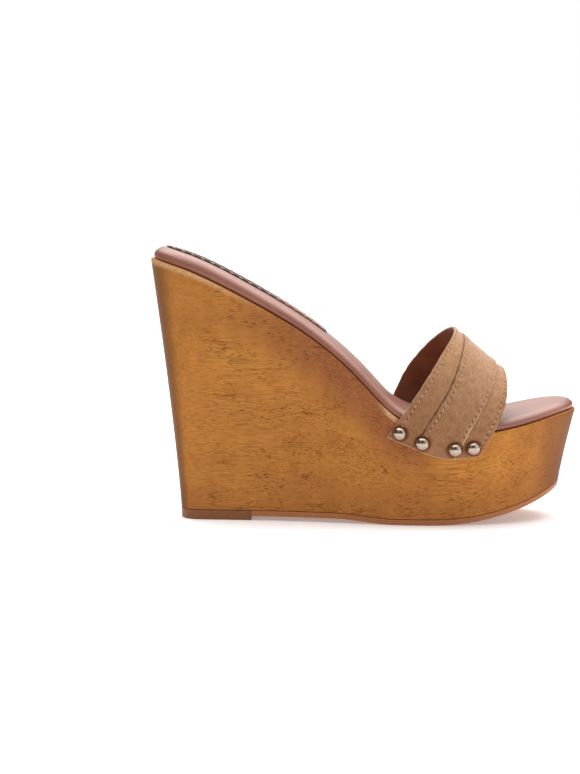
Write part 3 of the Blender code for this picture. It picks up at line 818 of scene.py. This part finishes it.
def make_lift():
    """The heel lift, with a worn round along its lower edge."""

    def place(shares, side, level):
        share, off, inset = level
        return side_point(shares, side, LIFT_THICKNESS * share + off + 0 * shares, inset)

    end = (LIFT_LENGTH / 2 - BASE_BACK) / BASE_LENGTH
    levels = rounded(0.0, 1.0, 0.8 * MM, 0.1 * MM, walls=3, steps=4)
    piece = lofted("rubber_heel_lift", spread(0.0, end, 60), levels, 8, place)
    close_start(piece)
    return finish_piece(piece, LIFT_RUBBER, ["heel_lift"])


def padded_up(points):
    """Points over the wood, with those of the footbed's upper part moved up by its crown."""
    x, y, z = (points[..., i] for i in range(3))
    slope = (top_height(x + MM) - top_height(x - MM)) / (2 * MM)
    steep = np.hypot(slope, 1.0)
    above = (z - top_height(x)) / steep
    share = eased((above - footbed_thickness(x) * 0.8) / (footbed_thickness(x) * 0.2))
    return np.stack([x, y, z + crown_at(x, y) * share * steep], axis=-1)


def make_footbed():
    """The padded footbed: leather tucked under at the wood, a bullnose edge, a soft crowned top."""
    widest = 0.36
    tuck = 1.5 * MM
    nose = 5.8 * MM
    fullness = 2 / 2.05
    levels = []
    for angle in np.radians(np.linspace(-90, 0, 7)):
        levels.append((widest * (1 + math.sin(angle)), tuck * (1 - math.cos(angle))))
    for angle in np.radians(np.linspace(0, 90, 17))[1:]:
        rise = abs(math.sin(angle)) ** fullness
        run = abs(math.cos(angle)) ** fullness
        levels.append((widest + (1 - widest) * rise, nose * (1 - run)))

    def place(shares, side, level):
        share, depth = level
        x, y = top_outline(shares, side, FOOTBED_INSET + depth)
        return on_footbed(x, y, FIT + footbed_thickness(x) * share)

    piece = lofted("padded_footbed", spread(0.0, 1.0, 200), levels, 24, place, padded_up)
    finish_piece(piece, NAPPA, ["footbed"])
    return piece


def sock_edge(shares, side, inset):
    x, y = top_outline(shares, side, FOOTBED_INSET + SOCK_INSET + inset)
    return x, y * SOCK_NARROWING


def make_sock():
    """The thin and narrow sock of dark suede on the heel."""

    def place(shares, side, level):
        share, off, inset = level
        x, y = sock_edge(shares, side, inset)
        return on_footbed(x, y, footbed_thickness(x) + 2 * FIT + SOCK_THICKNESS * share + off)

    def shape(points):
        x, y, z = (points[..., i] for i in range(3))
        slope = (top_height(x + MM) - top_height(x - MM)) / (2 * MM)
        return np.stack([x, y, z + crown_at(x, y) * np.hypot(slope, 1.0)], axis=-1)

    levels = rounded(0.0, 1.0, 0.1 * MM, 0.3 * MM, walls=1, steps=4)
    piece = lofted("heel_sock_suede", spread(0.0, SOCK_LENGTH / TOP_LENGTH, 80), levels, 16, place, shape)
    close_start(piece)
    # Paler towards the front end: a painted highlight
    front = points_of(piece)[:, 0]
    add_attribute(piece, "cut_edge_and_highlight", 0.7 * eased((front - 20.0 * MM) / (26.0 * MM)))
    return finish_piece(piece, SOCK_LEATHER, ["heel_sock"])


# Strap bands: where each starts and ends across the strap, its under and upper height, and how raw
# its rear and front edges are, from 0 for a folded one to 1 for a pale cut one
Band = namedtuple("Band", "name start end under over rear_raw front_raw")
LINING_WALL = 0.5 * MM
REAR_SEAM = STRAP_KNOTS[1]
FRONT_SEAM = STRAP_KNOTS[2]
MIDDLE_UNDER = STRAP_WALL + 0.15 * MM
MIDDLE_OVER = STRAP_WALL + STRAP_STEP
BANDS = (
    Band("strap_rear_band", 0.0, REAR_SEAM + STRAP_OVERLAP, LINING_WALL, STRAP_WALL, 0.5, 0.0),
    Band("strap_middle_band", REAR_SEAM, FRONT_SEAM, MIDDLE_UNDER, MIDDLE_OVER, 0.2, 0.9),
    Band("strap_front_band", FRONT_SEAM - STRAP_OVERLAP, 1.0, LINING_WALL, STRAP_WALL, 0.0, 0.4),
)

# Rows of stitches: place across the strap, its band's upper height
StitchRow = namedtuple("StitchRow", "across height")
STITCH_PITCH = 3.1 * MM
STITCH_ROWS = (
    StitchRow(0.0 + 2.4 * MM / STRAP_WIDTH, STRAP_WALL),
    StitchRow(REAR_SEAM + 2.0 * MM / STRAP_WIDTH, MIDDLE_OVER),
    StitchRow(FRONT_SEAM - 1.9 * MM / STRAP_WIDTH, MIDDLE_OVER),
    StitchRow(1.0 - 2.4 * MM / STRAP_WIDTH, STRAP_WALL),
)
GROOVE = 0.16 * MM
PUCKER = 0.12 * MM
STRAP_ROWS = 400


def lengths_along(points):
    """How far along a row of points each of them is."""
    return np.concatenate([[0.0], np.cumsum(np.linalg.norm(np.diff(points, axis=0), axis=1))])


def even_turns(across, height, pitch, first=-0.985, last=0.985):
    """Turns over the arch at which points along a row are a pitch apart."""
    turns = np.linspace(first, last, 400)
    points, _ = strap_point(across, turns, height)
    lengths = lengths_along(points)
    count = int(lengths[-1] / pitch)
    return np.interp(np.linspace(0, lengths[-1], count + 1), lengths, turns)


def sewn_relief(across, turn):
    """How the stitch rows shape the leather: a groove, with puckers puffed up between the holes."""
    relief = 0.0
    for row in STITCH_ROWS:
        turns = even_turns(row.across, row.height, STITCH_PITCH)
        count = np.interp(turn, turns, np.arange(len(turns)))
        away = (across - row.across) * STRAP_WIDTH
        relief = relief - GROOVE * bump(away, 0.6 * MM)
        relief = relief - PUCKER * np.cos(count * 2 * math.pi) * bump(np.abs(away) - 0.8 * MM, 0.8 * MM)
    return relief


def nail_seat(nail, side):
    """Where a nail's head sits on the strap, and the leather's normal there."""
    turn = side * math.acos(nail.rise) * 2 / math.pi
    height = STRAP_WALL + FIT + (STRAP_STEP if nail.raised else 0.0)
    point, normal = strap_point(np.array([nail.across]), np.array([turn]), np.array([height]))
    return point[0], normal[0]


def near_nails(points, distance, width):
    """A soft ring round each nail, at a distance from its middle."""
    found = 0.0
    for nail in NAILS:
        for side in (OUTER, INNER):
            reach = np.linalg.norm(points - nail_seat(nail, side)[0], axis=-1)
            found = found + bump(reach - distance, width)
    return found


def crevice(band, across):
    """The rear band swells up to the middle band's folded edge and dips under it."""
    if band.name != "strap_rear_band":
        return 0.0 * across
    behind = (REAR_SEAM - across) * STRAP_WIDTH
    dip = eased((0.7 * MM - behind) / (0.9 * MM))
    return 0.4 * MM * bump(behind - 1.6 * MM, 1.0 * MM) - 0.4 * MM * dip


def painted_shade(band, across, rise, points):
    """Painted shade: dark in the crevice of the rear seam and in a ring round the nails, with a painted
    shadow on the front band beside the front seam.
    """
    dark = near_nails(points, NAIL_HEAD / 2 + 0.3 * MM, 0.85 * MM)
    if band.name == "strap_rear_band":
        behind = (REAR_SEAM - across) * STRAP_WIDTH
        width = 0.45 * MM + 0.35 * MM * bump(rise - 0.45, 0.25)
        dark = np.maximum(dark, 0.6 * eased((width - behind) / (0.4 * MM)))
    if band.name == "strap_front_band":
        ahead = (across - FRONT_SEAM) * STRAP_WIDTH
        dark = np.maximum(dark, 0.45 * eased((1.3 * MM - ahead) / (1.3 * MM)) * bump(rise - 0.4, 0.25))
    return np.clip(dark, 0.0, 1.0)


def raw_edge(band, raw, rise, turn):
    """How pale a band's edge is. The front seam's edge is palest low down, and edges on the inner side are
    less pale.
    """
    outer = turn < 0
    if band.name == "strap_middle_band":
        return raw * np.where(outer, 0.15 + 0.85 * eased((0.62 - rise) / 0.5), 0.3)
    return raw * np.where(outer, 1.0, 0.2)


def band_section(band, round_over=0.5 * MM, steps=5, columns=48):
    """Stations round a band's section: across, height, how near an edge, and how raw that edge is."""
    edge = min(round_over, (band.over - band.under) * 0.48)
    small = edge / STRAP_WIDTH
    turned = []
    for i in range(steps + 1):
        angle = math.pi / 2 * i / steps
        away = small * (1 - math.cos(angle))
        turned.append((away, band.over - edge * (1 - math.sin(angle)), 1 - i / steps))
    inner = np.linspace(band.start + small, band.end - small, columns + 1)[1:-1]
    stations = [(band.start, band.under, 1.0, band.rear_raw)]
    stations += [(band.start + away, height, near, band.rear_raw) for away, height, near in turned]
    stations += [(a, band.over, 0.0, 0.0) for a in inner]
    stations += [(band.end - away, height, near, band.front_raw) for away, height, near in reversed(turned)]
    stations.append((band.end, band.under, 1.0, band.front_raw))
    stations += [(a, band.under, 0.0, 0.0) for a in inner[::-3]]
    stations.append(stations[0])
    return stations


def make_band(band):
    """One strap band: a closed strip of leather over the arch, with eased edges and stitch grooves."""
    stations = np.array(band_section(band))
    across, height, at_edge, raw = (stations[:, i][:, None] for i in range(4))
    turn = np.linspace(-1.0, 1.0, STRAP_ROWS + 1)[None, :]
    rise = np.cos(turn * math.pi / 2)
    ragged = 0.12 * MM / STRAP_WIDTH * (np.sin(turn * 61) + np.sin(turn * 97 + 1.3) * 0.7)
    upper = height > (band.under + band.over) / 2
    place = np.clip(across + ragged * at_edge, 0.0, 1.0)
    plain, normals = strap_point(place, turn, height)
    pillow = 0.2 * MM * near_nails(plain, 5.4 * MM, 1.3 * MM)
    relief = np.where(upper, pillow + sewn_relief(across, turn) + crevice(band, across), 0.0)
    points = plain + normals * relief[..., None]
    cut_edge_and_highlight = at_edge * raw_edge(band, raw, rise, turn)
    if band.name == "strap_middle_band":
        # Its front edge is skived, and pale over a millimetre
        ahead = (band.end - across) * STRAP_WIDTH
        skived = 0.8 * upper * bump(ahead, 0.9 * MM) * raw_edge(band, band.front_raw, rise, turn)
        cut_edge_and_highlight = np.maximum(cut_edge_and_highlight, skived)
    cut_edge_and_highlight[:, [0, -1]] = 0.6
    piece = wrapped_grid(band.name, points)
    add_attribute(piece, "cut_edge_and_highlight", cut_edge_and_highlight)
    # Painted shade: seam crevice, nail rings, shadow beside the front seam
    add_attribute(piece, "painted_shade", painted_shade(band, across, rise, plain))
    # Darker towards the foot of the strap: partly painted shade, partly the nap's own tone
    add_attribute(piece, "lower_shade_and_nap", np.broadcast_to(eased((0.95 - rise) / 0.8), points.shape[:2]))
    weld(piece)
    close_start(piece)
    return finish_piece(piece, NUBUCK)


def lining_height(across, turn):
    """The lining's face: it follows the bands, and steps up where the middle band lies on the others."""
    first = (REAR_SEAM + STRAP_OVERLAP) * STRAP_WIDTH
    last = (FRONT_SEAM - STRAP_OVERLAP) * STRAP_WIDTH
    soft = 0.8 * MM
    step = eased((across * STRAP_WIDTH - first) / soft) * eased((last - across * STRAP_WIDTH) / soft)
    free = np.minimum(np.cos(turn * math.pi / 2) / LINING_FREE, 1.0)
    return STRAP_STEP * step * free


def make_lining():
    """The dark lining glued inside the bands, trimmed flush with them."""
    columns = 90
    margin = 0.004
    out = np.linspace(margin, 1 - margin, columns)
    across = np.concatenate([out, np.linspace(1 - margin, margin, columns), [margin]])[:, None]
    top = np.concatenate([np.zeros(columns), np.ones(columns), [0.0]])[:, None]
    turn = np.linspace(-1.0, 1.0, STRAP_ROWS + 1)[None, :]
    height = lining_height(across, turn) + top * LINING_WALL
    points, _ = strap_point(across, turn, height)
    piece = wrapped_grid("strap_lining", points)
    weld(piece)
    close_start(piece)
    return finish_piece(piece, LINING, ["upper"])


def copies(name, base, matrices):
    """Copies of a small mesh at many places, joined into one piece."""
    mesh = bmesh.new()
    for matrix in matrices:
        before = len(mesh.verts)
        mesh.from_mesh(base)
        mesh.verts.ensure_lookup_table()
        bmesh.ops.transform(mesh, matrix=matrix, verts=mesh.verts[before:])
    data = bpy.data.meshes.new(name)
    mesh.to_mesh(data)
    mesh.free()
    return placed(name, data)


def small_round(length, width, height, segments=8, rings=6):
    """A little capsule-like form for a stitch or a hole, as a mesh."""
    bpy.ops.object.select_all(action="DESELECT")
    bpy.ops.mesh.primitive_uv_sphere_add(segments=segments, ring_count=rings, radius=0.5)
    thing = bpy.context.object
    thing.scale = (length, width, height)
    bpy.ops.object.transform_apply(location=True, rotation=True, scale=True)
    data = thing.data
    bpy.data.objects.remove(thing)
    return data


def frame_at(point, along, normal):
    """A matrix with its X along a row of stitches and its Z off the leather."""
    x = Vector(along).normalized()
    z = Vector(normal)
    y = z.cross(x).normalized()
    z = x.cross(y)
    turned = Matrix((x, y, z)).transposed().to_4x4()
    return Matrix.Translation(Vector(point)) @ turned


def make_stitches():
    """The strap's stitch rows: slanted threads, none quite like the next, and dark discs of painted shade
    at their needle holes.
    """
    chance = np.random.default_rng(11)
    threads = []
    holes = []
    for row in STITCH_ROWS:
        turns = even_turns(row.across, row.height, STITCH_PITCH)
        middle = (turns[1:] + turns[:-1]) / 2
        at_holes, hole_normals = strap_point(row.across, turns, row.height - GROOVE)
        at_threads, thread_normals = strap_point(row.across, middle, row.height - GROOVE * 0.4)
        for i, point in enumerate(at_threads):
            along = at_holes[i + 1] - at_holes[i]
            slant = Matrix.Rotation(math.radians(chance.uniform(8, 32)), 4, "Z")
            worn_in = 1 - 0.4 * eased((math.cos(middle[i] * math.pi / 2) - 0.3) / 0.5)
            thick = chance.uniform(0.75, 1.25) * worn_in
            size = Matrix.Diagonal((chance.uniform(0.75, 1.05), thick, thick, 1.0))
            threads.append(frame_at(point, along, thread_normals[i]) @ slant @ size)
            hole = Matrix.Diagonal((*[chance.uniform(0.7, 1.2) * worn_in] * 2, 1.0, 1.0))
            holes.append(frame_at(at_holes[i], along, hole_normals[i]) @ hole)
    thread = small_round(STITCH_PITCH * 0.62, 0.55 * MM, 0.42 * MM)
    hole = small_round(0.95 * MM, 0.8 * MM, 0.24 * MM)
    finish_piece(copies("strap_stitches", thread, threads), THREAD)
    # Dark discs of painted shade at the needle holes
    finish_piece(copies("strap_needle_hole_shade", hole, holes), NEEDLE_HOLE_SHADE)


def make_sock_stitches():
    """Tan stitches over the edge of the heel sock, 5.6 mm apart."""
    pitch = 5.6 * MM
    matrices = []
    for side in (OUTER, INNER):
        shares = np.linspace(0.0, 0.97 * SOCK_LENGTH / TOP_LENGTH, 600)
        x, y = sock_edge(shares, side, 0.3 * MM)
        points = on_footbed(x, y, footbed_thickness(x) + crown_at(x, y) + 2 * FIT + SOCK_THICKNESS * 0.8)
        lengths = lengths_along(points)
        for start in np.arange(pitch / 2, lengths[-1], pitch):
            here = np.array([np.interp(start, lengths, points[:, k]) for k in range(3)])
            there = np.array([np.interp(start + 0.5 * MM, lengths, points[:, k]) for k in range(3)])
            matrices.append(frame_at(here, there - here, (0.0, 0.0, 1.0)))
    stitch = small_round(2.4 * MM, 0.9 * MM, 0.7 * MM)
    return finish_piece(copies("sock_stitches", stitch, matrices), SOCK_THREAD)


def nail_head():
    """A domed nail's head, as a mesh: the upper half of a ball, flattened, with a short straight rim."""
    bpy.ops.object.select_all(action="DESELECT")
    bpy.ops.mesh.primitive_uv_sphere_add(segments=40, ring_count=24, radius=NAIL_HEAD / 2)
    thing = bpy.context.object
    bpy.ops.object.mode_set(mode="EDIT")
    bpy.ops.mesh.select_all(action="SELECT")
    bpy.ops.mesh.bisect(plane_co=(0, 0, 0), plane_no=(0, 0, 1), clear_inner=True, use_fill=False)
    bpy.ops.mesh.select_all(action="SELECT")
    bpy.ops.transform.resize(value=(1, 1, NAIL_DOME / (NAIL_HEAD / 2)))
    bpy.ops.transform.translate(value=(0, 0, NAIL_RIM))
    bpy.ops.mesh.select_all(action="DESELECT")
    bpy.ops.mesh.select_non_manifold()
    bpy.ops.mesh.extrude_region_move(TRANSFORM_OT_translate={"value": (0, 0, -NAIL_RIM)})
    bpy.ops.transform.resize(value=(0.93, 0.93, 1.0), center_override=(0, 0, 0))
    bpy.ops.mesh.edge_face_add()
    bpy.ops.mesh.select_all(action="SELECT")
    bpy.ops.mesh.normals_make_consistent(inside=False)
    bpy.ops.object.mode_set(mode="OBJECT")
    data = thing.data
    bpy.data.objects.remove(thing)
    return data


def make_nails():
    """Eight nails, each on its seat in the strap."""
    head = nail_head()
    for side, word in ((OUTER, "outer"), (INNER, "inner")):
        for number, nail in enumerate(NAILS):
            point, normal = nail_seat(nail, side)
            turned = Vector(normal).to_track_quat("Z", "Y").to_matrix().to_4x4()
            data = head.copy()
            data.transform(Matrix.Translation(Vector(point)) @ turned)
            node_name = f"nail_{word}_{number + 1}"
            piece = placed(f"plated_{node_name}", data)
            finish_piece(piece, PLATING, [node_name], smooth_angle=45)


make_wood()
make_outsole()
make_lift()
make_footbed()
make_sock()
for strap_band in BANDS:
    make_band(strap_band)
make_lining()
make_stitches()
make_sock_stitches()
make_nails()


# Studio: a pale floor, white surroundings, a large light overhead and black screens round the shoe

def matt_sheet(name, scale, dark, light):
    """A matt material and its shader, with a fine fibre between two greys."""
    made, tree, shader, place = new_material(name)
    fibre = node(tree, "TexNoise", {"Vector": place, "Scale": scale}).outputs["Fac"]
    tone = node(tree, "MapRange", {"Value": fibre, "To Min": dark, "To Max": light})
    coloured(tree, shader, tone.outputs[0])
    shader.inputs["Roughness"].default_value = 1.0
    return made, shader


def studio_paper():
    """Matt white background paper, which shines a little so that it comes out white."""
    made, shader = matt_sheet("studio_paper", 400.0, 0.88, 0.92)
    shader.inputs["Specular IOR Level"].default_value = 0.0
    shader.inputs["Emission Color"].default_value = (1.0, 1.0, 1.0, 1.0)
    shader.inputs["Emission Strength"].default_value = 0.25
    return made


def black_cloth():
    """Matt black cloth on the screens that keep the side light low."""
    return matt_sheet("black_cloth", 300.0, 0.03, 0.06)[0]


def turned_to(place, target):
    return (Vector(target) - Vector(place)).to_track_quat("-Z", "Y").to_euler()


def make_screen(name, place, target, width, height):
    """A black screen outside the picture, turned to the shoe."""
    bpy.ops.object.select_all(action="DESELECT")
    bpy.ops.mesh.primitive_plane_add(size=1.0, location=place)
    screen = bpy.context.object
    screen.name = name
    screen.scale = (width, height, 1.0)
    screen.rotation_euler = turned_to(place, target)
    screen.visible_camera = False
    screen.data.materials.append(SCREEN_CLOTH)


def make_floor():
    bpy.ops.object.select_all(action="DESELECT")
    bpy.ops.mesh.primitive_plane_add(size=30.0, location=(0, 0, 0))
    floor = bpy.context.object
    floor.name = "studio_floor"
    floor.data.materials.append(studio_paper())


def soft_light(name, place, target, width, power):
    """A square soft light, turned to a point."""
    data = bpy.data.lights.new(name, "AREA")
    data.size = width
    data.energy = power
    light = placed(name, data)
    light.location = place
    light.rotation_euler = turned_to(place, target)


def make_studio():
    world = bpy.data.worlds.new("white_surroundings")
    bpy.context.scene.world = world
    world.use_nodes = True
    world.node_tree.nodes["Background"].inputs["Color"].default_value = (1.0, 1.0, 1.0, 1.0)
    world.node_tree.nodes["Background"].inputs["Strength"].default_value = 1.0
    middle = (0.08, 0.0, 0.05)
    soft_light("overhead_light", (0.05, 0.45, 1.4), middle, 2.1, 34.0)
    make_screen("front_screen", (0.05, -1.5, 0.75), (0.05, 0.0, 0.75), 2.0, 1.5)
    make_screen("heel_screen", (-0.9, -0.1, 0.65), (0.0, -0.1, 0.65), 2.2, 1.3)
    make_screen("rear_left_screen", (-1.3, 1.4, 0.6), (0.0, 0.0, 0.6), 1.7, 1.2)
    make_screen("rear_right_screen", (1.35, 1.5, 0.6), (0.15, 0.0, 0.6), 1.7, 1.2)
    bpy.context.scene.view_settings.view_transform = "Standard"


def make_camera():
    data = bpy.data.cameras.new("camera")
    data.lens = CAMERA_LENS
    data.sensor_width = 36.0
    camera = placed("camera", data)
    camera.location = CAMERA_PLACE
    camera.rotation_euler = (math.pi / 2 - CAMERA_DOWN, 0.0, CAMERA_TURN)
    bpy.context.scene.camera = camera


SCREEN_CLOTH = black_cloth()
make_floor()
make_studio()
make_camera()
